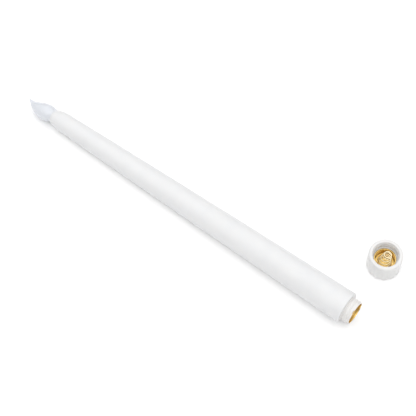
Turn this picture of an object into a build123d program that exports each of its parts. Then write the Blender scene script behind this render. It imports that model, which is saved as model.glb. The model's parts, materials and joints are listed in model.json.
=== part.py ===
"""A battery taper candle lying on its side, with its screw cap standing beside it.

Frame: origin at the centre of the cap's flat base, on the ground, +Z up.
+X runs from the candle's flame end towards its threaded neck.
Along the candle, a station is a distance from the shell's base face towards the flame;
the neck stands on the negative side.  All sizes are in millimetres.
"""

import os
from math import atan2, cos, hypot, pi, radians, sin

from build123d import *

os.makedirs("parts", exist_ok=True)

# ---------------------------------------------------------------- driving dimensions
# where the candle lies beside the cap
neck_end_x = 6.3
candle_y = -44.7
rest_tilt = 0.87  # degrees, flame end down: the bulging taper rests on one point

# candle shell
base_radius = 10.9
shoulder_radius = 6.6
shoulder_station = 238.5
taper_bulge = 0.34  # how far the taper's side bows out past a straight cone
body_length = 247.0
shell_top_radius = 4.7
shoulder_bulge = 0.35
shell_wall = 1.0
base_edge_radius = 0.8
bulb_hole_radius = 4.15
shell_top_thickness = 1.4

# AA cells
cell_radius = 7.2
cell_length = 50.5
cell_nub_radius = 2.75
cell_nub_height = 1.2
cell_jacket = 0.15
cell_lip = 0.6  # width of the jacket's turned-in rim
cell_depth = 2.4  # from the neck's end to the rear cell

# battery tube and neck
neck_length = 6.2
sleeve_thickness = 0.2
cell_clearance = 0.1
tube_clearance = 0.15  # around the cells, beyond the sleeve
neck_wall = 0.65
tube_wall = 0.6
tube_flange = 1.6
tube_flange_draft = 0.1  # how much narrower the flange is on its inner side
fit_clearance = 0.05
lug_angle = -23.0  # degrees round the neck from its upper side
lug_width = 2.4
lug_depth = 0.5

# thread of the neck and the cap
thread_pitch = 2.0
thread_height = 0.4
thread_root_width = 0.9
thread_crest_width = 0.4
thread_clearance = 0.15  # radial, crest to root
thread_overlap = 0.15  # how deep the ridge is rooted in its wall
neck_thread_start = 0.9  # from the neck's end
neck_thread_turns = 2.1
cap_thread_start = 1.3  # from the cap's rim
cap_thread_turns = 1.45
cap_thread_angle = 49.1  # degrees; puts the ridges between the neck's when the cap is home

# contact plug, contacts and strip
plug_thickness = 4.0
contact_thickness = 0.4
contact_radius = 5.0
tag_width = 2.6
tag_thickness = 0.4
tag_length = 3.0
tag_offset = 2.2
strip_width = 2.6
strip_thickness = 0.22
strip_window = 1.2
strip_overhang = 5.0

# wires, circuit board and its parts
wire_radius = 0.6
board_radius = 4.9
board_thickness = 1.0
board_depth = 2.5  # below the shell's shoulder
board_hole_radius = 0.4
wire_offset = 3.0
wire_joint = 2.0  # soldered length on the contact's tag and on the strip
wire_straight = 8.0
wire_first_bend = 45.0
wire_second_bend = 90.0
wire_bend_share = 0.45  # of the shorter run beside a bend
chip_radius = 1.0
chip_height = 0.7
chip_edge = 0.45
chip_place = (2.3, 2.3)
smd_size = (2.0, 1.25)
resistor_height = 0.5
capacitor_height = 0.9
smd_offset = 2.9
solder_radius = 0.7
solder_height = 0.6

# light source
carrier_radius = 3.35
carrier_flange = 1.6
lead_radius = 0.25
lead_spacing = 2.54
lead_hole_radius = 0.35
lead_tail = 1.0
led_radius = 2.5
led_rim_radius = 2.9
led_rim = 1.0
led_length = 8.6

# flame bulb: station, radius and sideways lean of its sections
bulb_wall = 1.0
bulb_skirt_radius = 4.05
bulb_skirt_length = 8.0
bulb_sections = (
    (0.0, 4.65, 0.0),
    (1.2, 4.85, -0.1),
    (3.2, 5.6, -0.45),
    (5.8, 5.93, -0.62),
    (9.8, 5.45, -0.88),
    (13.8, 4.15, -1.13),
    (17.2, 2.5, -0.93),
    (20.2, 1.15, -0.03),
    (22.4, 0.35, 0.87),
)
bulb_hollow_sections = 6  # how many of them the hollow follows
bulb_lean_direction = (0.384, 0.922)  # in the candle's own up and sideways axes

# screw cap
cap_radius = 11.4
cap_height = 16.5
cap_rim_radius = 1.3
cap_mouth_radius = 0.8
cap_base_edge = 0.8
cap_bore_depth = 6.4
cap_floor_gap = 0.05
flute_count = 12
flute_depth = 0.55
flute_cutter_radius = 4.0
flute_turn = 4.0  # degrees the flutes are turned from +X
flute_top = 4.0  # smooth band left below the rim

# contact cup and spring
cup_thickness = 0.35
cup_inner_radius = 6.5
cup_flange_radius = 7.45
cup_depth = 5.4
cup_clearance = 0.05
wire_thickness = 0.7
spring_base_radius = 4.85
spring_top_radius = 2.0
spring_turns = 5
spring_rise = 0.8  # how far the spring's tip stands above the cap's rim
spring_lean = (1.1, 0.2)  # how far the tip stands off the cap's axis
spring_flat_turns = 0.6  # of the foot and of the tip
spring_points_per_turn = 12
spring_seat_gap = 0.05

# ---------------------------------------------------------------- derived sizes
sleeve_inner_radius = cell_radius + cell_clearance
sleeve_outer_radius = sleeve_inner_radius + sleeve_thickness
sleeve_length = neck_length + tube_flange + strip_window  # covers the strip's window
tube_inner_radius = cell_radius + tube_clearance
tube_outer_radius = tube_inner_radius + tube_wall
neck_root_radius = sleeve_outer_radius + neck_wall
thread_crest_radius = neck_root_radius + thread_height
cap_bore_radius = thread_crest_radius + thread_clearance
rear_cell_station = cell_depth - neck_length
front_cell_station = rear_cell_station + cell_length
contact_station = front_cell_station + cell_length
plug_station = contact_station + contact_thickness
tube_end = plug_station + plug_thickness
shell_bore_radius = base_radius - shell_wall

# the taper's side is one large arc: its chord, radius and centre (radius, station)
chord_lean = atan2(base_radius - shoulder_radius, shoulder_station)
half_chord = hypot(base_radius - shoulder_radius, shoulder_station) / 2
arc_radius = (half_chord**2 + taper_bulge**2) / (2 * taper_bulge)
chord_middle = ((base_radius + shoulder_radius) / 2, shoulder_station / 2)
arc_middle = (
    chord_middle[0] + taper_bulge * cos(chord_lean),
    chord_middle[1] + taper_bulge * sin(chord_lean),
)
arc_centre = (
    arc_middle[0] - arc_radius * cos(chord_lean),
    arc_middle[1] - arc_radius * sin(chord_lean),
)

# the shell touches the ground where its side is level
tilt = radians(rest_tilt)
axis_height = arc_centre[0] * cos(tilt) + arc_centre[1] * sin(tilt) + arc_radius

candle_direction = Vector(-cos(tilt), 0, -sin(tilt))
candle_up = Vector(-sin(tilt), 0, cos(tilt))
base_centre = Vector(neck_end_x - neck_length * cos(tilt), candle_y, axis_height)
candle = Plane(origin=base_centre, x_dir=candle_up, z_dir=candle_direction)
candle_section = Plane(origin=base_centre, x_dir=candle_up, z_dir=-candle.y_dir)
candle_axis = Axis(base_centre, candle_direction)


def shell_radius(station):
    """Outside radius of the tapered side at a station."""
    reach = station - arc_centre[1]
    return arc_centre[0] + (arc_radius**2 - reach**2) ** 0.5


def turned(plane, angle):
    """The same plane with its own axes turned about its normal, in degrees."""
    turn = radians(angle)
    sideways = plane.x_dir * cos(turn) + plane.y_dir * sin(turn)
    return Plane(origin=plane.origin, x_dir=sideways, z_dir=plane.z_dir)


def eased(share):
    """A share from 0 to 1 with soft ends, so a coil leaves its flat turns gently."""
    share = min(max(share, 0), 1)
    soft = share * share * (3 - 2 * share)
    return (share + soft) / 2 if 0 < share < 1 else soft


def rims(piece):
    """The round edges of a piece, narrowest first."""
    round_edges = piece.edges().filter_by(GeomType.CIRCLE).filter_by(lambda edge: edge.is_closed)
    return round_edges.sort_by(lambda edge: edge.radius)


def save(piece, label):
    """Name a finished piece and write it."""
    piece.part.label = label
    export_step(piece.part, f"parts/{label}.step")


def thread_ridge(base, radius, start, turns, outward):
    """Sweep a helical ridge on a cylinder's wall, into the part being built.

    base is a plane across the axis, start the distance along it; outward is 1 for an
    outside thread and -1 for an inside one.
    """
    with BuildLine() as upright:
        Helix(pitch=thread_pitch, height=thread_pitch * turns, radius=radius)
    coil = base.offset(start).location * upright.edge()
    radial = base.x_dir * outward
    with BuildSketch(Plane(origin=coil @ 0, x_dir=radial, z_dir=coil % 0)) as ridge:
        with BuildLine():
            Polyline(
                (-thread_overlap, -thread_root_width / 2),
                (0, -thread_root_width / 2),
                (thread_height, -thread_crest_width / 2),
                (thread_height, thread_crest_width / 2),
                (0, thread_root_width / 2),
                (-thread_overlap, thread_root_width / 2),
                close=True,
            )
        make_face()
    along = Edge.make_line(base.origin, base.offset(thread_pitch).origin)
    sweep(sections=ridge.sketch, path=coil, binormal=along)


# ---------------------------------------------------------------- candle shell
with BuildPart() as outer_shell:
    with BuildSketch(candle_section):
        with BuildLine():
            side = ThreePointArc(
                (shell_radius(base_edge_radius), base_edge_radius),
                arc_middle,
                (shoulder_radius, shoulder_station),
            )
            shoulder = ThreePointArc(
                side @ 1,
                (
                    (shoulder_radius + shell_top_radius) / 2 + shoulder_bulge,
                    (shoulder_station + body_length) / 2,
                ),
                (shell_top_radius, body_length),
            )
            Polyline(
                shoulder @ 1,
                (bulb_hole_radius, body_length),
                (bulb_hole_radius, body_length - shell_top_thickness),
                (shoulder_radius - shell_wall, shoulder_station),
            )
            bore = ThreePointArc(
                (shoulder_radius - shell_wall, shoulder_station),
                (arc_middle[0] - shell_wall, arc_middle[1]),
                (shell_bore_radius, 0),
            )
            foot = Line(bore @ 1, (side @ 0 - (base_edge_radius, base_edge_radius)))
            RadiusArc(foot @ 1, side @ 0, -base_edge_radius)
        make_face()
    revolve(axis=candle_axis)
save(outer_shell, "outer_shell")

# ---------------------------------------------------------------- battery tube with its neck
neck_end = turned(candle, lug_angle).offset(-neck_length)

with BuildPart() as battery_tube:
    with BuildSketch(candle_section):
        with BuildLine():
            Polyline(
                (sleeve_outer_radius, -neck_length),
                (neck_root_radius, -neck_length),
                (neck_root_radius, 0),
                (shell_bore_radius - fit_clearance, 0),
                (shell_bore_radius - fit_clearance - tube_flange_draft, tube_flange),
                (tube_outer_radius, tube_flange),
                (tube_outer_radius, tube_end),
                (tube_inner_radius, tube_end),
                (tube_inner_radius, sleeve_length - neck_length),
                (sleeve_outer_radius, sleeve_length - neck_length),
                close=True,
            )
        make_face()
    revolve(axis=candle_axis)
    thread_ridge(
        candle.offset(-neck_length), neck_root_radius, neck_thread_start, neck_thread_turns, 1
    )
    # notch in the neck's end for the sleeve's lug
    with BuildSketch(neck_end):
        with Locations((neck_root_radius, 0)):
            Rectangle(2 * neck_wall + 2 * thread_height, lug_width + 2 * fit_clearance)
    extrude(amount=lug_depth, mode=Mode.SUBTRACT)
    # window through the wall for the negative strip's foot
    with BuildSketch(candle.offset(tube_flange)):
        with Locations((0, sleeve_outer_radius)):
            Rectangle(strip_width + 2 * fit_clearance, 4 * tube_wall)
    extrude(amount=strip_window, mode=Mode.SUBTRACT)
save(battery_tube, "battery_tube")

with BuildPart() as neck_sleeve:
    with BuildSketch(candle.offset(-neck_length)):
        Circle(sleeve_outer_radius)
        Circle(sleeve_inner_radius, mode=Mode.SUBTRACT)
    extrude(amount=sleeve_length)
    # lug turned out over the neck's end
    with BuildSketch(neck_end):
        with Locations((sleeve_outer_radius, 0)):
            Rectangle(2 * neck_wall, lug_width)
        Circle(sleeve_inner_radius, mode=Mode.SUBTRACT)
    extrude(amount=sleeve_thickness)
save(neck_sleeve, "neck_sleeve")

with BuildPart() as negative_strip:
    with BuildSketch(candle.offset(tube_flange)):
        Circle(tube_outer_radius + strip_thickness)
        Circle(tube_outer_radius, mode=Mode.SUBTRACT)
        with Locations((0, tube_outer_radius)):
            Rectangle(strip_width, 4 * tube_wall, mode=Mode.INTERSECT)
    extrude(amount=tube_end + strip_overhang - tube_flange)
    # foot that reaches in through the window to the sleeve
    with BuildSketch(candle.offset(tube_flange)):
        Circle(tube_outer_radius + strip_thickness)
        Circle(sleeve_outer_radius, mode=Mode.SUBTRACT)
        with Locations((0, tube_outer_radius)):
            Rectangle(strip_width, 4 * tube_wall, mode=Mode.INTERSECT)
    extrude(amount=strip_window - fit_clearance)
save(negative_strip, "negative_strip")

# ---------------------------------------------------------------- cells
cell_stations = {"rear_cell": rear_cell_station, "front_cell": front_cell_station}
for cell_name, cell_station in cell_stations.items():
    can_top = cell_length - cell_nub_height
    with BuildPart() as cell:
        with BuildSketch(candle.offset(cell_station)):
            Circle(cell_radius - cell_jacket)
        extrude(amount=can_top)
        with BuildSketch(candle.offset(cell_station + can_top)):
            Circle(cell_nub_radius)
        extrude(amount=cell_nub_height)
        fillet(rims(cell).sort_by(candle_axis)[-1], radius=cell_nub_height / 3)
    save(cell, cell_name)
    with BuildPart() as jacket:
        with BuildSketch(candle.offset(cell_station)):
            Circle(cell_radius)
            Circle(cell_radius - cell_jacket, mode=Mode.SUBTRACT)
        extrude(amount=can_top)
        with BuildSketch(candle.offset(cell_station + can_top)):
            Circle(cell_radius)
            Circle(cell_radius - cell_jacket - cell_lip, mode=Mode.SUBTRACT)
        extrude(amount=cell_jacket)
    save(jacket, cell_name + "_jacket")

# ---------------------------------------------------------------- plug and contacts
with BuildPart() as contact_plug:
    with BuildSketch(candle.offset(plug_station)):
        Circle(tube_inner_radius)
        with Locations((tag_offset, 0)):
            Rectangle(
                tag_thickness + 2 * fit_clearance,
                tag_width + 2 * fit_clearance,
                mode=Mode.SUBTRACT,
            )
    extrude(amount=plug_thickness)
save(contact_plug, "contact_plug")

with BuildPart() as positive_contact:
    with BuildSketch(candle.offset(contact_station)):
        Circle(contact_radius)
    extrude(amount=contact_thickness)
    with BuildSketch(candle.offset(plug_station)):
        with Locations((tag_offset, 0)):
            Rectangle(tag_thickness, tag_width)
    extrude(amount=plug_thickness + tag_length)
save(positive_contact, "positive_contact")

# ---------------------------------------------------------------- light source
board_top = shoulder_station - board_depth
board_bottom = board_top - board_thickness
carrier_top = body_length - led_rim
lead_places = [(0, -lead_spacing / 2), (0, lead_spacing / 2)]
wire_places = [(wire_offset, 0), (-wire_offset, 0)]
smd_places = {"resistor": (0, smd_offset), "capacitor": (0, -smd_offset)}

with BuildPart() as circuit_board:
    with BuildSketch(candle.offset(board_bottom)):
        Circle(board_radius)
        with Locations(*lead_places):
            Circle(board_hole_radius, mode=Mode.SUBTRACT)
    extrude(amount=board_thickness)
save(circuit_board, "circuit_board")

with BuildPart() as flicker_chip:
    with BuildSketch(candle.offset(board_bottom - chip_height)):
        with Locations(chip_place):
            Circle(chip_radius)
    extrude(amount=chip_height)
    fillet(rims(flicker_chip).sort_by(candle_axis)[0], radius=chip_edge)
save(flicker_chip, "flicker_chip")

for chip_name, chip_height_up in (("resistor", resistor_height), ("capacitor", capacitor_height)):
    with BuildPart() as chip:
        with BuildSketch(candle.offset(board_bottom - chip_height_up)):
            with Locations(smd_places[chip_name]):
                Rectangle(*smd_size)
        extrude(amount=chip_height_up)
    save(chip, chip_name)

with BuildPart() as led_carrier:
    with BuildSketch(candle.offset(board_top)):
        Circle(shell_radius(board_top + carrier_flange) - shell_wall - fit_clearance)
    extrude(amount=carrier_flange)
    with BuildSketch(candle.offset(board_top + carrier_flange)):
        Circle(carrier_radius)
    extrude(amount=carrier_top - board_top - carrier_flange)
    with BuildSketch(candle.offset(board_top)):
        with Locations(*lead_places):
            Circle(lead_hole_radius)
    extrude(amount=carrier_top - board_top, mode=Mode.SUBTRACT)
save(led_carrier, "led_carrier")

with BuildPart() as led:
    with BuildSketch(candle_section):
        with BuildLine():
            tip_station = carrier_top + led_length
            body = Polyline(
                (0, carrier_top),
                (led_rim_radius, carrier_top),
                (led_rim_radius, carrier_top + led_rim),
                (led_radius, carrier_top + led_rim),
                (led_radius, tip_station - led_radius),
            )
            dome = RadiusArc(body @ 1, (0, tip_station), -led_radius)
            Line(dome @ 1, body @ 0)
        make_face()
    revolve(axis=candle_axis)
save(led, "led")

with BuildPart() as led_leads:
    with BuildSketch(candle.offset(board_bottom - lead_tail)):
        with Locations(*lead_places):
            Circle(lead_radius)
    extrude(amount=carrier_top - board_bottom + lead_tail)
save(led_leads, "led_leads")

with BuildPart() as solder_joints:
    joint_cores = [(place, lead_radius) for place in lead_places]
    joint_cores += [(place, 0) for place in wire_places]
    for joint_place, core_radius in joint_cores:
        with BuildSketch(candle.offset(board_bottom - solder_height)):
            with Locations(joint_place):
                Circle(solder_radius)
        extrude(amount=solder_height)
        if core_radius:
            with BuildSketch(candle.offset(board_bottom - solder_height)):
                with Locations(joint_place):
                    Circle(core_radius)
            extrude(amount=solder_height, mode=Mode.SUBTRACT)
save(solder_joints, "solder_joints")

# ---------------------------------------------------------------- wires
wire_end = board_bottom - solder_height
tag_end = tube_end + tag_length
strip_end = tube_end + strip_overhang
tag_side = tag_offset + tag_thickness / 2 + wire_radius
tube_side = tube_outer_radius - wire_radius
wire_routes = {
    "positive_wire": [
        (tag_side, 0, tag_end - wire_joint),
        (tag_side, 0, tag_end + wire_straight),
        (4.2, 0.8, tag_end + wire_first_bend),
        (3.4, -0.8, tag_end + wire_second_bend),
        (wire_offset, 0, wire_end - wire_straight),
        (wire_offset, 0, wire_end),
    ],
    "negative_wire": [
        (0, tube_side, strip_end - wire_joint),
        (0, tube_side, strip_end + wire_straight),
        (-1.5, 4.6, strip_end + wire_first_bend),
        (-3.2, 1.4, strip_end + wire_second_bend),
        (-wire_offset, 0, wire_end - wire_straight),
        (-wire_offset, 0, wire_end),
    ],
}
for wire_name, route in wire_routes.items():
    corners = [candle.from_local_coords(Vector(*point)) for point in route]
    runs = [(b - a) for a, b in zip(corners, corners[1:])]
    bends = [
        wire_bend_share * min(a.length, b.length) / max(abs(sin(radians(a.get_angle(b)) / 2)), 0.01)
        for a, b in zip(runs, runs[1:])
    ]
    with BuildPart() as wire:
        with BuildLine():
            path = FilletPolyline(*corners, radius=bends)
        with BuildSketch(Plane(origin=path @ 0, z_dir=path % 0)):
            Circle(wire_radius)
        sweep(path=path)
    save(wire, wire_name)

# ---------------------------------------------------------------- flame bulb
lean_length = hypot(*bulb_lean_direction)


def flame_loft(sections, wall, mode):
    """Loft the flame's round sections, shrunk by a wall."""
    rings = []
    for rise, radius, lean in sections:
        with BuildSketch(candle.offset(body_length + rise)) as ring:
            with Locations(tuple(lean * share / lean_length for share in bulb_lean_direction)):
                Circle(radius - wall)
        rings.append(ring.sketch)
    loft(sections=rings, mode=mode)


with BuildPart() as flame_bulb:
    flame_loft(bulb_sections, 0, Mode.ADD)
    with BuildSketch(candle.offset(body_length - bulb_skirt_length)):
        Circle(bulb_skirt_radius)
    extrude(amount=bulb_skirt_length)
    with BuildSketch(candle.offset(body_length - bulb_skirt_length)):
        Circle(carrier_radius + fit_clearance)
    extrude(amount=bulb_skirt_length, mode=Mode.SUBTRACT)
    flame_loft(bulb_sections[:bulb_hollow_sections], bulb_wall, Mode.SUBTRACT)
save(flame_bulb, "flame_bulb")

# ---------------------------------------------------------------- screw cap
ledge_height = cap_height - cap_bore_depth
cup_floor_height = ledge_height + cup_thickness - cup_depth
pocket_floor = cup_floor_height - cup_thickness - cap_floor_gap
pocket_radius = cup_inner_radius + cup_thickness + cup_clearance

with BuildPart() as screw_cap:
    with BuildSketch(Plane.XZ):
        with BuildLine():
            Polyline(
                (0, 0),
                (cap_radius, 0),
                (cap_radius, cap_height),
                (cap_bore_radius, cap_height),
                (cap_bore_radius, ledge_height),
                (pocket_radius, ledge_height),
                (pocket_radius, pocket_floor),
                (0, pocket_floor),
                close=True,
            )
        make_face()
    revolve(axis=Axis.Z)
    mouth_edge, rim_edge = rims(screw_cap).group_by(Axis.Z)[-1].sort_by(lambda edge: edge.radius)
    base_edge = rims(screw_cap).group_by(Axis.Z)[0]
    fillet(rim_edge, radius=cap_rim_radius)
    fillet(mouth_edge, radius=cap_mouth_radius)
    fillet(base_edge, radius=cap_base_edge)
    # grip flutes, deepest at the base and running out below the smooth rim
    flute_rise = cap_height - flute_top
    flute_lean = atan2(flute_depth, flute_rise)
    for index in range(flute_count):
        angle = radians((index + 0.5) * 360 / flute_count + flute_turn)
        outward = Vector(cos(angle), sin(angle), 0)
        axis_start = outward * (cap_radius - flute_depth + flute_cutter_radius)
        axis_direction = outward * sin(flute_lean) + Vector(0, 0, cos(flute_lean))
        with BuildSketch(Plane(origin=axis_start - axis_direction, z_dir=axis_direction)):
            Circle(flute_cutter_radius)
        extrude(amount=cap_height + 2, mode=Mode.SUBTRACT)
    thread_bottom = cap_height - cap_thread_start - thread_pitch * cap_thread_turns
    thread_base = turned(Plane.XY, cap_thread_angle).offset(thread_bottom)
    thread_ridge(thread_base, cap_bore_radius, 0, cap_thread_turns, -1)
save(screw_cap, "screw_cap")

with BuildPart() as contact_cup:
    with BuildSketch(Plane.XZ):
        with BuildLine():
            flange_top = ledge_height + cap_floor_gap + cup_thickness
            Polyline(
                (0, cup_floor_height - cup_thickness),
                (cup_inner_radius + cup_thickness, cup_floor_height - cup_thickness),
                (cup_inner_radius + cup_thickness, flange_top - cup_thickness),
                (cup_flange_radius, flange_top - cup_thickness),
                (cup_flange_radius, flange_top),
                (cup_inner_radius, flange_top),
                (cup_inner_radius, cup_floor_height),
                (0, cup_floor_height),
                close=True,
            )
        make_face()
    revolve(axis=Axis.Z)
save(contact_cup, "contact_cup")

spring_foot = cup_floor_height + spring_seat_gap + wire_thickness / 2
spring_tip = cap_height + spring_rise - wire_thickness / 2
coil_points = []
for index in range(spring_turns * spring_points_per_turn + 1):
    turn = index / spring_points_per_turn
    share = turn / spring_turns
    angle = 2 * pi * turn
    radius = spring_base_radius + (spring_top_radius - spring_base_radius) * share
    rising = (turn - spring_flat_turns) / (spring_turns - 2 * spring_flat_turns)
    lift = eased(rising)
    coil_points.append(
        (
            radius * cos(angle) + spring_lean[0] * lift,
            radius * sin(angle) + spring_lean[1] * lift,
            spring_foot + (spring_tip - spring_foot) * lift,
        )
    )

with BuildPart() as contact_spring:
    with BuildLine():
        coil = Spline(*coil_points)
    with BuildSketch(Plane(origin=coil @ 0, z_dir=coil % 0)):
        Circle(wire_thickness / 2)
    sweep(path=coil, is_frenet=True)
save(contact_spring, "contact_spring")
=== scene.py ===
"""Looks of a battery taper candle lying beside its screw cap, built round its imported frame.

Blender objects are in metres, in the frame's own axes.  Sizes below are in millimetres and
are turned into metres by MM.  Stations run along the candle from its base face (0) towards
the flame; the neck is on the negative side.  Heights on the cap run up from its flat base.
"""

import json
import math

import bmesh
import bpy
import numpy as np
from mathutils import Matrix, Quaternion, Vector


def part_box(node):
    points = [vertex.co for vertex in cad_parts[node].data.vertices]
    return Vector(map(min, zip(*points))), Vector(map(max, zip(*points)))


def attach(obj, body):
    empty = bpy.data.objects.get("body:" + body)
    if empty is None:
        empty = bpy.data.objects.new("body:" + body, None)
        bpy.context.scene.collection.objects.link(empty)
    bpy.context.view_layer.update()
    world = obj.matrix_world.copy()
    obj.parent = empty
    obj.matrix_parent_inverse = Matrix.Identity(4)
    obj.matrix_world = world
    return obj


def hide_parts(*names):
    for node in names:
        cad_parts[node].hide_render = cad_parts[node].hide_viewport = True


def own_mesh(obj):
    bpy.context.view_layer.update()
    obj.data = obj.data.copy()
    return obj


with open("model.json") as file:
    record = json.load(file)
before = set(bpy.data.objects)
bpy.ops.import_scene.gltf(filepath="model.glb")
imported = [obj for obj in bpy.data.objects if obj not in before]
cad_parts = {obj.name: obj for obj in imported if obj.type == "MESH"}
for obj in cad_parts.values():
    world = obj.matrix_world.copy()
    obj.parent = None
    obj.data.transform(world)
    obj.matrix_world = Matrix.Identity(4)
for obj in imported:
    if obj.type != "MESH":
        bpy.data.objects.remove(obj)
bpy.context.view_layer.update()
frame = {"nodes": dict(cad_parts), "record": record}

MM = 0.001
TURN = 2 * math.pi

# ------------------------------------------------------------------ sizes, millimetres
NECK_LENGTH = 6.2
CELL_DEPTH = 2.4
CELL_LENGTH = 50.5
CELL_NUB_HEIGHT = 1.2
CELL_JACKET = 0.15

BASE_RADIUS = 10.9
BASE_EDGE = 0.8
SHOULDER_RADIUS = 6.6
SHOULDER_STATION = 238.5
TAPER_BULGE = 0.34
SHOULDER_BULGE = 0.35
BODY_LENGTH = 247.0
SHELL_TOP_RADIUS = 4.7
SHELL_WALL = 1.0
BULB_HOLE_RADIUS = 4.15
SHELL_TOP_THICKNESS = 1.4
EDGE_SOFTENING = 0.12  # size of the small softened edges of the shell and the neck
FIT_CLEARANCE = 0.05
SIDE_STEPS = 60
SHOULDER_STEPS = 12

SLEEVE_RADII = (7.3, 7.5)
SLEEVE_LENGTH = 9.0
SLEEVE_SHEET = 0.2
NECK_ROOT_RADIUS = 8.15
TUBE_RADII = (7.35, 7.95)
TUBE_END = 101.6
TUBE_FLANGE = 1.6
TUBE_FLANGE_DRAFT = 0.1
LUG_ANGLE = math.radians(-23)
LUG_WIDTH = 2.4
LUG_DEPTH = 0.5
LUG_INSET = 0.05  # how far it stops short of the neck's outside

THREAD_PITCH = 2.0
THREAD_HEIGHT = 0.4
THREAD_ROOT_WIDTH = 0.9
THREAD_CREST_WIDTH = 0.4
NECK_THREAD_START = 0.9
NECK_THREAD_TURNS = 2.1
CAP_THREAD_START = 1.3
CAP_THREAD_TURNS = 1.45
CAP_THREAD_ANGLE = math.radians(49.1)
THREAD_STEP = 0.1  # length between the neck's rings under its thread

CAP_RADIUS = 11.4
CAP_HEIGHT = 16.5
CAP_BASE_EDGE = 0.8
CAP_RIM_RADIUS = 1.3
CAP_MOUTH_RADIUS = 0.8
CAP_BORE_RADIUS = 8.7
CAP_BORE_DEPTH = 6.4
POCKET_RADIUS = 6.9
FLUTE_COUNT = 12
FLUTE_DEPTH = 0.55
FLUTE_CUTTER_RADIUS = 4.0
FLUTE_TURN = math.radians(4)
FLUTE_TOP = 4.0
FLUTE_REACH = 2.0  # how far in from the side the flutes are cut
FLUTE_SOFTNESS = 0.12  # width over which a flute's edges are rounded
CAP_FLOOR_GAP = 0.05  # between the cup and its pocket's floor

CUP_THICKNESS = 0.35
CUP_INNER_RADIUS = 6.5
CUP_FLANGE_RADIUS = 7.45
CUP_FLOOR = 5.05
CUP_FLANGE_TOP = 10.5

WIRE_THICKNESS = 0.7
SPRING_TURNS = 5
SPRING_STEPS = 48  # points in a turn
SPRING_FLAT_TURNS = 0.6  # at each end
SPRING_SEAT_GAP = 0.05  # between its foot and the cup's floor
SPRING_BASE_RADIUS = 4.85
SPRING_TOP_RADIUS = 2.0
SPRING_RISE = 0.8
SPRING_LEAN = (1.1, 0.2)

# ------------------------------------------------------------------ the candle's own axes
def box_centre(node):
    """Middle of a CAD node's box, which lies on the candle's axis for a round node."""
    low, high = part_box(node)
    return (Vector(low) + Vector(high)) / 2


cell_middle = box_centre("rear_cell_jacket")
board_middle = box_centre("circuit_board")
candle_along = (board_middle - cell_middle).normalized()
candle_side = Vector((0, 1, 0))
candle_up = candle_side.cross(candle_along).normalized()
jacket_middle_station = CELL_DEPTH - NECK_LENGTH + (CELL_LENGTH - CELL_NUB_HEIGHT + CELL_JACKET) / 2
base_centre = cell_middle - candle_along * jacket_middle_station * MM


def on_candle(radius, angle, station):
    """A point round the candle: angle 0 is its upper side, a quarter turn is +Y."""
    across = candle_up * math.cos(angle) + candle_side * math.sin(angle)
    return base_centre + (across * radius + candle_along * station) * MM


def on_cap(radius, angle, height):
    """A point round the standing cap's axis."""
    return Vector((radius * math.cos(angle), radius * math.sin(angle), height)) * MM


# ------------------------------------------------------------------ mesh helpers
def rounded(corners, steps=6):
    """A profile of (radius, station, fillet) corners with its fillets drawn as arcs."""
    points = []
    count = len(corners)
    for i, (x, y, fillet) in enumerate(corners):
        if fillet <= 0 or i in (0, count - 1):
            points.append((x, y))
            continue
        here = Vector((x, y))
        before = (Vector(corners[i - 1][:2]) - here).normalized()
        after = (Vector(corners[i + 1][:2]) - here).normalized()
        half = before.angle(after) / 2
        reach = fillet / math.tan(half)
        middle = here + (before + after).normalized() * fillet / math.sin(half)
        start, end = here + before * reach - middle, here + after * reach - middle
        sweep = start.angle_signed(end) if start.length else 0
        for step in range(steps + 1):
            turn = -sweep * step / steps
            cosine, sine = math.cos(turn), math.sin(turn)
            points.append(
                (
                    middle.x + start.x * cosine - start.y * sine,
                    middle.y + start.x * sine + start.y * cosine,
                )
            )
    return points


def divided(points, longest):
    """The profile with its long runs cut into runs no longer than longest."""
    result = [points[0]]
    for (x0, y0), (x1, y1) in zip(points, points[1:]):
        pieces = max(1, math.ceil(math.hypot(x1 - x0, y1 - y0) / longest))
        for k in range(1, pieces + 1):
            result.append((x0 + (x1 - x0) * k / pieces, y0 + (y1 - y0) * k / pieces))
    return result


def new_mesh(name, vertices, faces, smooth_angle=35):
    """A shaded mesh object from points in metres."""
    mesh = bpy.data.meshes.new(name)
    mesh.from_pydata([tuple(v) for v in vertices], [], faces)
    mesh.validate()
    mesh.shade_smooth()
    mesh.set_sharp_from_angle(angle=math.radians(smooth_angle))
    piece = bpy.data.objects.new(name, mesh)
    bpy.context.scene.collection.objects.link(piece)
    return piece


def lathe(name, profile, place, segments=160, shape=None, smooth_angle=35):
    """Turn a profile of (radius, station) about an axis.

    A profile that starts and ends on the axis is closed by its poles; any other is a loop.
    shape(radius, angle, station) returns the radius to use there.
    """
    on_axis = profile[0][0] == 0 and profile[-1][0] == 0
    rings = profile[1:-1] if on_axis else profile
    vertices, faces = [], []
    for radius, station in rings:
        for k in range(segments):
            angle = TURN * k / segments
            reach = shape(radius, angle, station) if shape else radius
            vertices.append(place(reach, angle, station))
    ring_pairs = len(rings) - 1 if on_axis else len(rings)
    for i in range(ring_pairs):
        low, high = i * segments, (i + 1) % len(rings) * segments
        for k in range(segments):
            after = (k + 1) % segments
            faces.append((low + k, low + after, high + after, high + k))
    if on_axis:
        last_ring = (len(rings) - 1) * segments
        poles = ((profile[0][1], 0, False), (profile[-1][1], last_ring, True))
        for station, first, flip in poles:
            pole = len(vertices)
            vertices.append(place(0, 0, station))
            for k in range(segments):
                after = (k + 1) % segments
                face = (pole, first + after, first + k)
                faces.append(face[::-1] if flip else face)
    piece = new_mesh(name, vertices, faces, smooth_angle)
    outward(piece)
    return piece


def outward(piece):
    """Turn a closed mesh's faces to point outwards."""
    mesh = bmesh.new()
    mesh.from_mesh(piece.data)
    bmesh.ops.recalc_face_normals(mesh, faces=mesh.faces)
    mesh.to_mesh(piece.data)
    mesh.free()


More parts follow.
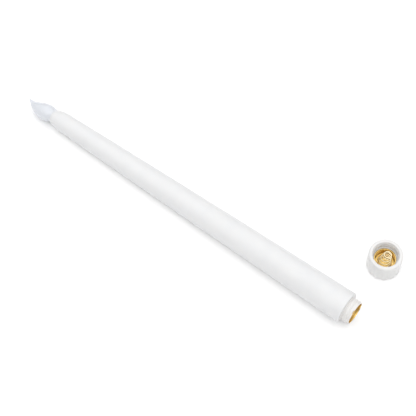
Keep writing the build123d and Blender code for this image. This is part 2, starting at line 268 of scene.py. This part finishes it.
def tube(name, path, radius, sides=16):
    """A round wire along a list of points in millimetres, with domed ends."""
    points = [Vector(p) for p in path]
    tangents = [
        (points[min(i + 1, len(points) - 1)] - points[max(i - 1, 0)]).normalized()
        for i in range(len(points))
    ]
    across = tangents[0].orthogonal().normalized()
    vertices, faces, rows = [], [], []
    dome = [(math.sin(a), math.cos(a)) for a in (0.35, 0.75, 1.15)]
    stops = [(0, s * radius, -c * radius) for s, c in dome]
    stops += [(i, radius, 0) for i in range(len(points))]
    stops += [(len(points) - 1, s * radius, c * radius) for s, c in reversed(dome)]
    for index, reach, ahead in stops:
        along = tangents[index]
        across = (across - along * across.dot(along)).normalized()
        other = along.cross(across)
        rows.append(len(vertices))
        for k in range(sides):
            angle = TURN * k / sides
            point = points[index] + along * ahead
            point += (across * math.cos(angle) + other * math.sin(angle)) * reach
            vertices.append(point * MM)
    for low, high in zip(rows, rows[1:]):
        for k in range(sides):
            after = (k + 1) % sides
            faces.append((low + k, low + after, high + after, high + k))
    faces.append(tuple(range(rows[0], rows[0] + sides))[::-1])
    faces.append(tuple(range(rows[-1], rows[-1] + sides)))
    piece = new_mesh(name, vertices, faces, 60)
    outward(piece)
    return piece


def ease(value):
    """Smooth step from 0 to 1."""
    value = min(max(value, 0.0), 1.0)
    return value * value * (3 - 2 * value)


def thread_rise(angle, station, start, turns, start_angle=0.0):
    """Height of a right-hand thread ridge at a place on its wall."""
    share = ((angle - start_angle) % TURN) / TURN
    rise = 0.0
    for lap in range(-1, math.ceil(turns) + 1):
        turn = lap + share
        if not 0 <= turn <= turns:
            continue
        distance = abs(station - start - THREAD_PITCH * turn)
        flank = (THREAD_ROOT_WIDTH - THREAD_CREST_WIDTH) / 2
        ridge = ease((THREAD_ROOT_WIDTH / 2 - distance) / flank)
        run_out = ease(turn / 0.09) * ease((turns - turn) / 0.09)
        rise = max(rise, ridge * run_out)
    return rise * THREAD_HEIGHT


# ------------------------------------------------------------------ materials
# sockets of a Mix node that mixes colours
MIX_FACTOR, MIX_FIRST, MIX_SECOND, MIX_RESULT = 0, 6, 7, 2


class Nodes:
    """A short way to build a material's node tree."""

    def __init__(self, name):
        self.material = bpy.data.materials.new(name)
        self.material.use_nodes = True
        self.tree = self.material.node_tree
        self.shader = self.tree.nodes["Principled BSDF"]
        place = self.tree.nodes.new("ShaderNodeTexCoord")
        self.place = place.outputs["Object"]

    def link(self, source, target):
        self.tree.links.new(source, target)

    def feed(self, socket, source):
        """Lead a value into one of the shader's sockets."""
        self.link(source, self.shader.inputs[socket])

    def mapping(self, scale):
        node = self.tree.nodes.new("ShaderNodeMapping")
        node.inputs["Scale"].default_value = scale
        self.link(self.place, node.inputs["Vector"])
        return node.outputs["Vector"]

    def noise(self, size, detail=3.0, roughness=0.5, stretch=(1, 1, 1)):
        """Noise whose features are about size millimetres across."""
        node = self.tree.nodes.new("ShaderNodeTexNoise")
        node.inputs["Scale"].default_value = 1.0
        node.inputs["Detail"].default_value = detail
        node.inputs["Roughness"].default_value = roughness
        scale = 1 / (size * MM)
        self.link(self.mapping([scale * s for s in stretch]), node.inputs["Vector"])
        return node.outputs["Fac"]

    def ranged(self, value, low, high, start=0.3, end=0.7):
        node = self.tree.nodes.new("ShaderNodeMapRange")
        node.inputs["From Min"].default_value = start
        node.inputs["From Max"].default_value = end
        node.inputs["To Min"].default_value = low
        node.inputs["To Max"].default_value = high
        self.link(value, node.inputs["Value"])
        return node.outputs["Result"]

    def blend(self, value, first, second):
        """A colour between two, by a value."""
        node = self.tree.nodes.new("ShaderNodeMix")
        node.data_type = "RGBA"
        node.inputs[MIX_FIRST].default_value = (*first, 1)
        node.inputs[MIX_SECOND].default_value = (*second, 1)
        self.link(value, node.inputs[MIX_FACTOR])
        return node.outputs[MIX_RESULT]

    def bump(self, value, depth, strength=1.0, under=None):
        """Bump of a depth in millimetres."""
        node = self.tree.nodes.new("ShaderNodeBump")
        node.inputs["Strength"].default_value = strength
        node.inputs["Distance"].default_value = depth * MM
        self.link(value, node.inputs["Height"])
        if under:
            self.link(under, node.inputs["Normal"])
        return node.outputs["Normal"]

    def set(self, **values):
        for name, value in values.items():
            self.shader.inputs[name.replace("_", " ")].default_value = value


def moulded(name, light, dark, rough=(0.3, 0.42), glow=0.12, grain=0.01):
    """Moulded plastic: faint mottling, uneven gloss and a very fine skin."""
    nodes = Nodes(name)
    mottle = nodes.noise(9, 4)
    nodes.feed("Base Color", nodes.blend(nodes.ranged(mottle, 0, 1), light, dark))
    nodes.feed("Roughness", nodes.ranged(nodes.noise(3.5, 5), *rough))
    skin = nodes.bump(nodes.noise(0.35, 2), grain, 0.5)
    flow = nodes.bump(nodes.noise(14, 2, stretch=(0.25, 1, 1)), grain * 4, 0.4, skin)
    nodes.feed("Normal", flow)
    if glow:
        nodes.set(Subsurface_Weight=glow, Subsurface_Scale=0.003)
        nodes.shader.inputs["Subsurface Radius"].default_value = (1.0, 0.9, 0.8)
    nodes.set(IOR=1.48, Specular_IOR_Level=0.25)
    return nodes.material


def metal(name, light, dark, rough=(0.2, 0.35), brush=(1, 1, 1), size=2.0):
    """Sheet or wire metal with drawn marks and uneven tarnish."""
    nodes = Nodes(name)
    tarnish = nodes.noise(size * 2, 4)
    nodes.feed("Base Color", nodes.blend(nodes.ranged(tarnish, 0, 1), light, dark))
    marks = nodes.noise(size * 0.2, 3, stretch=brush)
    nodes.feed("Roughness", nodes.ranged(marks, *rough))
    nodes.feed("Normal", nodes.bump(marks, 0.012, 0.6))
    nodes.set(Metallic=1.0)
    return nodes.material


def milky(name):
    """Translucent plastic of the flame bulb."""
    nodes = Nodes(name)
    cloud = nodes.noise(8, 2)
    colour = nodes.blend(nodes.ranged(cloud, 0, 1), (0.68, 0.70, 0.745), (0.66, 0.68, 0.72))
    nodes.feed("Base Color", colour)
    nodes.feed("Roughness", nodes.ranged(nodes.noise(4, 2), 0.2, 0.28))
    nodes.feed("Normal", nodes.bump(nodes.noise(2, 2), 0.01, 0.3))
    nodes.set(IOR=1.46, Subsurface_Weight=0.25, Subsurface_Scale=0.002)
    nodes.set(Coat_Weight=0.3, Coat_Roughness=0.12)
    nodes.shader.inputs["Subsurface Radius"].default_value = (0.9, 0.95, 1.0)
    return nodes.material


TRACK_DENSITY = 900  # units of the track pattern in a metre


def circuit(name):
    """Green solder mask with faint tracks under it."""
    nodes = Nodes(name)
    tracks = nodes.tree.nodes.new("ShaderNodeTexBrick")
    nodes.link(nodes.mapping([TRACK_DENSITY] * 3), tracks.inputs["Vector"])
    tracks.inputs["Color1"].default_value = (0.02, 0.16, 0.06, 1)
    tracks.inputs["Color2"].default_value = (0.03, 0.20, 0.08, 1)
    tracks.inputs["Mortar"].default_value = (0.06, 0.28, 0.12, 1)
    nodes.feed("Base Color", tracks.outputs["Color"])
    nodes.feed("Roughness", nodes.ranged(nodes.noise(1.0), 0.3, 0.45))
    nodes.feed("Normal", nodes.bump(tracks.outputs["Fac"], 0.02))
    return nodes.material


def film(name):
    """Printed cell jacket: a dark field with a copper-coloured band and no lettering."""
    nodes = Nodes(name)
    along = nodes.tree.nodes.new("ShaderNodeSeparateXYZ")
    nodes.link(nodes.mapping((1 / (CELL_LENGTH * MM), 1, 1)), along.inputs["Vector"])
    wave = nodes.tree.nodes.new("ShaderNodeMath")
    wave.operation = "FRACT"
    nodes.link(along.outputs["X"], wave.inputs[0])
    band = nodes.ranged(wave.outputs[0], 0, 1, start=0.30, end=0.31)
    copper, dark = (0.55, 0.30, 0.12), (0.03, 0.04, 0.06)
    nodes.feed("Base Color", nodes.blend(band, copper, dark))
    nodes.feed("Roughness", nodes.ranged(nodes.noise(1.5, 3), 0.2, 0.35))
    nodes.feed("Normal", nodes.bump(nodes.noise(5, 2), 0.02, 0.3))
    return nodes.material


def epoxy(name, colour):
    """Clear tinted resin of the lamp."""
    nodes = Nodes(name)
    deeper = tuple(c * 0.9 for c in colour)
    nodes.feed("Base Color", nodes.blend(nodes.ranged(nodes.noise(1.5), 0, 1), colour, deeper))
    nodes.feed("Roughness", nodes.ranged(nodes.noise(0.8), 0.05, 0.12))
    nodes.set(Transmission_Weight=0.7, IOR=1.5)
    return nodes.material


finishes = {
    "shell_plastic": moulded("shell_plastic", (0.745, 0.745, 0.745), (0.72, 0.722, 0.728)),
    "tube_plastic": moulded("tube_plastic", (0.77, 0.755, 0.74), (0.735, 0.72, 0.705)),
    "cap_plastic": moulded("cap_plastic", (0.745, 0.74, 0.735), (0.71, 0.706, 0.70)),
    "carrier_plastic": moulded("carrier_plastic", (0.72, 0.72, 0.71), (0.66, 0.66, 0.65)),
    "bulb_plastic": milky("bulb_plastic"),
    "brass": metal("brass", (0.78, 0.56, 0.22), (0.62, 0.42, 0.13), (0.16, 0.30)),
    "spring_brass": metal(
        "spring_brass", (0.95, 0.86, 0.62), (0.86, 0.72, 0.44), (0.14, 0.24), size=1.0
    ),
    "nickel": metal("nickel", (0.78, 0.76, 0.72), (0.62, 0.60, 0.56)),
    "cell_can": metal("cell_can", (0.72, 0.71, 0.69), (0.60, 0.59, 0.57), (0.22, 0.36)),
    "cell_jacket": film("cell_jacket"),
    "board": circuit("board"),
    "chip_resin": moulded("chip_resin", (0.02, 0.02, 0.02), (0.035, 0.035, 0.035), glow=0),
    "chip_ceramic": moulded("chip_ceramic", (0.03, 0.03, 0.035), (0.05, 0.05, 0.05), glow=0),
    "capacitor_ceramic": moulded(
        "capacitor_ceramic", (0.35, 0.24, 0.14), (0.28, 0.19, 0.11), glow=0
    ),
    "led_resin": epoxy("led_resin", (0.95, 0.82, 0.50)),
    "solder": metal("solder", (0.72, 0.72, 0.74), (0.55, 0.55, 0.58), (0.2, 0.45), size=0.6),
    "red_wire": moulded("red_wire", (0.42, 0.02, 0.015), (0.33, 0.015, 0.012), glow=0),
    "black_wire": moulded("black_wire", (0.02, 0.02, 0.02), (0.035, 0.035, 0.035), glow=0),
}
slot_of = {part["node"]: part["material_slot"] for part in frame["record"]["subparts"]}
for node_name, node in frame["nodes"].items():
    node.data.materials.clear()
    node.data.materials.append(finishes[slot_of[node_name]])
    node.data.shade_smooth()
    node.data.set_sharp_from_angle(angle=math.radians(30))


def finish_piece(piece, node, body):
    """Give a piece its node's finish and a body, and hide the node it replaces."""
    piece.data.materials.append(finishes[slot_of[node]])
    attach(piece, body)
    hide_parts(node)
    return piece


# ------------------------------------------------------------------ candle shell
chord_lean = math.atan2(BASE_RADIUS - SHOULDER_RADIUS, SHOULDER_STATION)
half_chord = math.hypot(BASE_RADIUS - SHOULDER_RADIUS, SHOULDER_STATION) / 2
arc_radius = (half_chord**2 + TAPER_BULGE**2) / (2 * TAPER_BULGE)
arc_centre = Vector(
    (
        (BASE_RADIUS + SHOULDER_RADIUS) / 2 - (arc_radius - TAPER_BULGE) * math.cos(chord_lean),
        SHOULDER_STATION / 2 - (arc_radius - TAPER_BULGE) * math.sin(chord_lean),
    )
)


def shell_radius(station):
    """Outside radius of the candle's side, which is one large arc."""
    return arc_centre.x + math.sqrt(arc_radius**2 - (station - arc_centre.y) ** 2)


def build_shell():
    """Tapered shell: rounded base edge, bowed side, soft shoulder and the bulb's hole."""
    stations = [SHOULDER_STATION * k / SIDE_STEPS for k in range(SIDE_STEPS + 1)]
    edge_radius = shell_radius(BASE_EDGE)
    turns = [math.radians(a) for a in (0, 15, 30, 45, 60, 75)]
    outside = [
        (edge_radius - BASE_EDGE * (1 - math.sin(a)), BASE_EDGE * (1 - math.cos(a))) for a in turns
    ]
    outside += [(edge_radius, BASE_EDGE)]
    outside += [(shell_radius(s), s) for s in stations if s > BASE_EDGE]
    shoulder = []
    for k in range(1, SHOULDER_STEPS + 1):
        t = k / SHOULDER_STEPS
        chord = SHOULDER_RADIUS + (SHELL_TOP_RADIUS - SHOULDER_RADIUS) * t
        bow = 4 * SHOULDER_BULGE * t * (1 - t)
        shoulder.append((chord + bow, SHOULDER_STATION + (BODY_LENGTH - SHOULDER_STATION) * t))
    lip = [
        (SHELL_TOP_RADIUS, BODY_LENGTH - EDGE_SOFTENING),
        (SHELL_TOP_RADIUS - EDGE_SOFTENING, BODY_LENGTH),
        (BULB_HOLE_RADIUS, BODY_LENGTH),
        (BULB_HOLE_RADIUS, BODY_LENGTH - SHELL_TOP_THICKNESS),
    ]
    inside = [(SHOULDER_RADIUS - SHELL_WALL, SHOULDER_STATION)]
    inside += [(shell_radius(s) - SHELL_WALL, s) for s in reversed(stations[:-1])]
    profile = outside + shoulder[:-1] + lip + inside
    return lathe("candle_shell", profile, on_candle, segments=192)


finish_piece(build_shell(), "outer_shell", "candle")


# ------------------------------------------------------------------ neck and its lining
def by_lug(angle):
    """Whether a place round the neck is within the sleeve's lug."""
    away = (angle - LUG_ANGLE + math.pi) % TURN - math.pi
    return abs(away) < LUG_WIDTH / 2 / NECK_ROOT_RADIUS


NOTCH_MARGIN = 0.02  # how far outside the lining the notch starts


def on_neck(radius, angle, station):
    """A point on the neck, whose end is notched for the lug."""
    if by_lug(angle) and radius > SLEEVE_RADII[1] + NOTCH_MARGIN:
        station = max(station, LUG_DEPTH - NECK_LENGTH)
    return on_candle(radius, angle, station)


def build_neck():
    """Battery tube with its flange, threaded neck and the notch for the sleeve's lug."""
    inner, outer = TUBE_RADII
    liner = SLEEVE_RADII[1]
    mouth = -NECK_LENGTH
    flange = shell_radius(0) - SHELL_WALL - FIT_CLEARANCE
    profile = [(liner, mouth + 0.05), (liner + 0.05, mouth)]
    profile += [(NECK_ROOT_RADIUS - EDGE_SOFTENING, mouth), (NECK_ROOT_RADIUS - 0.03, mouth + 0.05)]
    profile += [(NECK_ROOT_RADIUS, mouth + EDGE_SOFTENING + k * THREAD_STEP) for k in range(60)]
    profile += [(NECK_ROOT_RADIUS + EDGE_SOFTENING, 0), (flange, 0)]
    profile += [(flange - TUBE_FLANGE_DRAFT, TUBE_FLANGE)]
    profile += [(outer, TUBE_FLANGE), (outer, TUBE_END), (inner, TUBE_END)]
    profile += [(inner, SLEEVE_LENGTH - NECK_LENGTH), (liner, SLEEVE_LENGTH - NECK_LENGTH)]

    def with_thread(radius, angle, station):
        if radius != NECK_ROOT_RADIUS:
            return radius
        start = NECK_THREAD_START - NECK_LENGTH
        return radius + thread_rise(angle, station, start, NECK_THREAD_TURNS)

    return lathe("threaded_neck", profile, on_neck, segments=224, shape=with_thread)


finish_piece(build_neck(), "battery_tube", "candle")


def build_sleeve():
    """Brass lining with a rounded lip and a lug folded out into the neck's notch."""
    inner, outer = SLEEVE_RADII
    lug_root = outer + 0.01  # the two rings at this radius reach out to make the lug
    start, end = -NECK_LENGTH, SLEEVE_LENGTH - NECK_LENGTH
    profile = [(inner, end)]
    profile += [(inner, start + 0.1), (inner + 0.05, start + 0.02), (outer - 0.04, start)]
    profile += [(lug_root, start + 0.02), (lug_root, start + SLEEVE_SHEET)]
    profile += [(outer, start + SLEEVE_SHEET + 0.05), (outer, end)]

    def with_lug(radius, angle, station):
        return NECK_ROOT_RADIUS - LUG_INSET if radius == lug_root and by_lug(angle) else radius

    profile = divided(profile, 1.0)
    return lathe("brass_neck_sleeve", profile, on_candle, segments=224, shape=with_lug)


finish_piece(build_sleeve(), "neck_sleeve", "candle")

# ------------------------------------------------------------------ flame bulb
# rise above the shell, radius and lean of the flame's sections
BULB_SECTIONS = (
    (0.0, 4.65, 0.0),
    (1.2, 4.85, -0.1),
    (3.2, 5.6, -0.45),
    (5.8, 5.93, -0.62),
    (9.8, 5.45, -0.88),
    (13.8, 4.15, -1.13),
    (17.2, 2.5, -0.93),
    (20.2, 1.15, -0.03),
    (22.4, 0.35, 0.87),
)
BULB_LEAN = (0.384, 0.922)
BULB_WALL = 1.0
BULB_FOOT_RADIUS = 4.6
BULB_SKIRT_RADII = (3.4, 4.05)
BULB_SKIRT_LENGTH = 8.0
BULB_HOLLOW_RISE = 13.8
BULB_STEPS = 48
HOLLOW_STEPS = 16


def smooth_value(column, rise):
    """A flame section's radius or lean at a rise, by a smooth curve through the sections."""
    rises = [s[0] for s in BULB_SECTIONS]
    values = [s[column] for s in BULB_SECTIONS]
    slopes = np.gradient(values, rises)
    i = min(max(int(np.searchsorted(rises, rise)) - 1, 0), len(rises) - 2)
    span = rises[i + 1] - rises[i]
    t = (rise - rises[i]) / span
    return (
        (2 * t**3 - 3 * t**2 + 1) * values[i]
        + (t**3 - 2 * t**2 + t) * span * slopes[i]
        + (3 * t**2 - 2 * t**3) * values[i + 1]
        + (t**3 - t**2) * span * slopes[i + 1]
    )


def on_flame(radius, angle, station):
    """A point on the flame, whose axis leans and curls."""
    rise = min(max(station - BODY_LENGTH, 0), BULB_SECTIONS[-1][0])
    lean = smooth_value(2, rise)
    point = on_candle(radius, angle, station)
    return point + (candle_up * BULB_LEAN[0] + candle_side * BULB_LEAN[1]) * lean * MM


def build_flame():
    """Teardrop bulb, hollow for the lamp, with its skirt."""
    tip_radius = BULB_SECTIONS[-1][1]
    tip_rise = BULB_SECTIONS[-1][0] - tip_radius
    rises = [tip_rise * k / BULB_STEPS for k in range(BULB_STEPS + 1)]
    outside = [(smooth_value(1, rise), BODY_LENGTH + rise) for rise in rises]
    end_radius, end = outside[-1]
    nose_angles = (0.4, 0.8, 1.2)
    nose = [(end_radius * math.cos(a), end + tip_radius * math.sin(a)) for a in nose_angles]
    skirt_inner, skirt_outer = BULB_SKIRT_RADII
    skirt_start = BODY_LENGTH - BULB_SKIRT_LENGTH
    skirt = [(skirt_inner, skirt_start), (skirt_outer, skirt_start)]
    skirt += [(skirt_outer, BODY_LENGTH - 0.02), (BULB_FOOT_RADIUS, BODY_LENGTH)]
    hollow_rises = [BULB_HOLLOW_RISE * k / HOLLOW_STEPS for k in range(HOLLOW_STEPS, 0, -1)]
    hollow = [(smooth_value(1, rise) - BULB_WALL, BODY_LENGTH + rise) for rise in hollow_rises]
    top = BODY_LENGTH + BULB_HOLLOW_RISE
    inside = [(0, top + 1.2), (1.6, top + 0.8)] + hollow + [(skirt_inner, BODY_LENGTH)]
    profile = inside + skirt + outside[1:] + nose + [(0, end + tip_radius)]
    return lathe("flame_shade", profile, on_flame, segments=96, smooth_angle=50)


finish_piece(build_flame(), "flame_bulb", "candle")


# ------------------------------------------------------------------ screw cap
def fluted(radius, angle, height):
    """The cap's outside with its grip flutes cut away."""
    depth = FLUTE_DEPTH * (1 - height / (CAP_HEIGHT - FLUTE_TOP))
    if depth <= 0 or radius < CAP_RADIUS - FLUTE_REACH:
        return radius
    inset = CAP_RADIUS - radius
    offset = ((angle - FLUTE_TURN) / TURN * FLUTE_COUNT - 0.5) % 1.0
    offset = min(offset, 1 - offset) * TURN / FLUTE_COUNT
    centre = CAP_RADIUS - depth + FLUTE_CUTTER_RADIUS
    square = FLUTE_CUTTER_RADIUS**2 - (centre * math.sin(offset)) ** 2
    cut = centre * math.cos(offset) - math.sqrt(square) if square > 0 else CAP_RADIUS + 1
    blend = max(FLUTE_SOFTNESS - abs(CAP_RADIUS - cut), 0) / FLUTE_SOFTNESS
    side = min(CAP_RADIUS, cut) - blend * blend * FLUTE_SOFTNESS / 4
    return side - inset


def build_cap():
    """Screw cap: fluted outside, round rim, threaded bore and the cup's pocket."""
    ledge = CAP_HEIGHT - CAP_BORE_DEPTH
    pocket_floor = CUP_FLOOR - CUP_THICKNESS - CAP_FLOOR_GAP
    outside = rounded(
        [
            (0, 0, 0),
            (CAP_RADIUS, 0, CAP_BASE_EDGE),
            (CAP_RADIUS, CAP_HEIGHT, CAP_RIM_RADIUS),
            (CAP_BORE_RADIUS, CAP_HEIGHT, CAP_MOUTH_RADIUS),
            (CAP_BORE_RADIUS, ledge, 0),
        ],
        steps=8,
    )
    inside = [(POCKET_RADIUS, ledge), (POCKET_RADIUS, pocket_floor), (0, pocket_floor)]

    def kept(point):
        """Whether a point is used: the plain middle of the base needs few rings."""
        radius, height = point
        return height > 0 or radius == 0 or radius > 9.5 or radius % 2 < 0.17

    profile = [point for point in divided(outside, 0.16) if kept(point)] + inside

    def cap_shape(radius, angle, height):
        if abs(radius - CAP_BORE_RADIUS) < 1e-6 and height > ledge:
            start = CAP_HEIGHT - CAP_THREAD_START - THREAD_PITCH * CAP_THREAD_TURNS
            return radius - thread_rise(angle, height, start, CAP_THREAD_TURNS, CAP_THREAD_ANGLE)
        return fluted(radius, angle, height)

    return lathe("fluted_cap", profile, on_cap, segments=240, shape=cap_shape)


finish_piece(build_cap(), "screw_cap", "cap")


def build_cup():
    """Drawn brass cup with a rolled flange."""
    outer = CUP_INNER_RADIUS + CUP_THICKNESS
    bottom = CUP_FLOOR - CUP_THICKNESS
    profile = rounded(
        [
            (0, bottom, 0),
            (outer, bottom, 0.7),
            (outer, CUP_FLANGE_TOP - CUP_THICKNESS, 0.15),
            (CUP_FLANGE_RADIUS, CUP_FLANGE_TOP - CUP_THICKNESS, 0.1),
            (CUP_FLANGE_RADIUS, CUP_FLANGE_TOP, 0.17),
            (CUP_INNER_RADIUS, CUP_FLANGE_TOP, 0.4),
            (CUP_INNER_RADIUS, CUP_FLOOR, 0.5),
            (0, CUP_FLOOR, 0),
        ]
    )
    return lathe("brass_contact_cup", divided(profile, 0.8), on_cap, segments=128)


finish_piece(build_cup(), "contact_cup", "contact")


# ------------------------------------------------------------------ spring
def build_spring():
    """Conical spring that leans: flat foot and tip turns with open turns between."""
    foot = CUP_FLOOR + SPRING_SEAT_GAP + WIRE_THICKNESS / 2
    tip = CAP_HEIGHT + SPRING_RISE - WIRE_THICKNESS / 2
    points = []
    for k in range(SPRING_TURNS * SPRING_STEPS + 1):
        turn = k / SPRING_STEPS
        share = turn / SPRING_TURNS
        rising = (turn - SPRING_FLAT_TURNS) / (SPRING_TURNS - 2 * SPRING_FLAT_TURNS)
        lift = (min(max(rising, 0), 1) + ease(rising)) / 2
        radius = SPRING_BASE_RADIUS + (SPRING_TOP_RADIUS - SPRING_BASE_RADIUS) * share
        x = radius * math.cos(TURN * turn) + SPRING_LEAN[0] * lift
        y = radius * math.sin(TURN * turn) + SPRING_LEAN[1] * lift
        points.append((x, y, foot + (tip - foot) * lift))
    return tube("conical_spring", points, WIRE_THICKNESS / 2)


spring = finish_piece(build_spring(), "contact_spring", "spring")
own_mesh(spring)


# ------------------------------------------------------------------ floor, light, camera
FLOOR_TONE = 0.96


def make_floor():
    """Plain pale floor."""
    mesh = bpy.data.meshes.new("floor")
    reach = 3.0
    corners = [(-reach, -reach, 0), (reach, -reach, 0), (reach, reach, 0), (-reach, reach, 0)]
    mesh.from_pydata(corners, [], [(0, 1, 2, 3)])
    floor = bpy.data.objects.new("floor", mesh)
    bpy.context.scene.collection.objects.link(floor)
    nodes = Nodes("pale_floor")
    nodes.set(Base_Color=(*[FLOOR_TONE] * 3, 1), Roughness=1.0, Specular_IOR_Level=0.0)
    mesh.materials.append(nodes.material)


def area_light(name, place, target, size, power):
    """A square soft light aimed at a point."""
    data = bpy.data.lights.new(name, "AREA")
    data.size = size
    data.energy = power
    light = bpy.data.objects.new(name, data)
    light.location = place
    light.rotation_euler = (Vector(target) - Vector(place)).to_track_quat("-Z", "Y").to_euler()
    bpy.context.scene.collection.objects.link(light)


# sines of the elevations between which the surroundings brighten
DIM_BELOW = 0.1
BRIGHT_ABOVE = 0.9


def make_world(level, dim):
    """Studio surroundings: white overhead, dimmer towards the horizon."""
    world = bpy.data.worlds.new("studio")
    world.use_nodes = True
    nodes = world.node_tree.nodes
    links = world.node_tree.links
    place = nodes.new("ShaderNodeTexCoord")
    upward = nodes.new("ShaderNodeVectorMath")
    upward.operation = "DOT_PRODUCT"
    upward.inputs[1].default_value = (0, 0, 1)
    links.new(place.outputs["Generated"], upward.inputs[0])
    ramp = nodes.new("ShaderNodeMapRange")
    ramp.interpolation_type = "SMOOTHSTEP"
    ramp.inputs["From Min"].default_value = DIM_BELOW
    ramp.inputs["From Max"].default_value = BRIGHT_ABOVE
    ramp.inputs["To Min"].default_value = dim
    ramp.inputs["To Max"].default_value = level
    links.new(upward.outputs["Value"], ramp.inputs["Value"])
    nodes["Background"].inputs["Color"].default_value = (1, 1, 1, 1)
    links.new(ramp.outputs["Result"], nodes["Background"].inputs["Strength"])
    bpy.context.scene.world = world


CAMERA_PLACE = Vector((0.1424, -0.3839, 0.8422))
CAMERA_TARGET = Vector((-0.1193, -0.0354, 0))
CAMERA_ROLL = -0.0041
CAMERA_LENS = 120.6
SENSOR_WIDTH = 36


def make_camera():
    """The photograph's view: high up, beyond the neck and on the candle's side of the cap."""
    data = bpy.data.cameras.new("camera")
    data.lens = CAMERA_LENS
    data.sensor_width = SENSOR_WIDTH
    camera = bpy.data.objects.new("camera", data)
    roll = Quaternion((0, 0, 1), CAMERA_ROLL)
    camera.location = CAMERA_PLACE
    gaze = (CAMERA_TARGET - CAMERA_PLACE).to_track_quat("-Z", "Y")
    camera.rotation_euler = (gaze @ roll).to_euler()
    bpy.context.scene.collection.objects.link(camera)
    bpy.context.scene.camera = camera


make_floor()
make_world(level=1.55, dim=0.28)
area_light("key", (0.1, -0.2, 1.2), (-0.1, -0.03, 0), size=0.5, power=0.9)
area_light("fill", (0.7, -0.9, 0.7), (-0.05, -0.02, 0), size=0.6, power=0.4)
make_camera()
# shows the white floor as plain white, as the photograph has it
bpy.context.scene.view_settings.view_transform = "Standard"
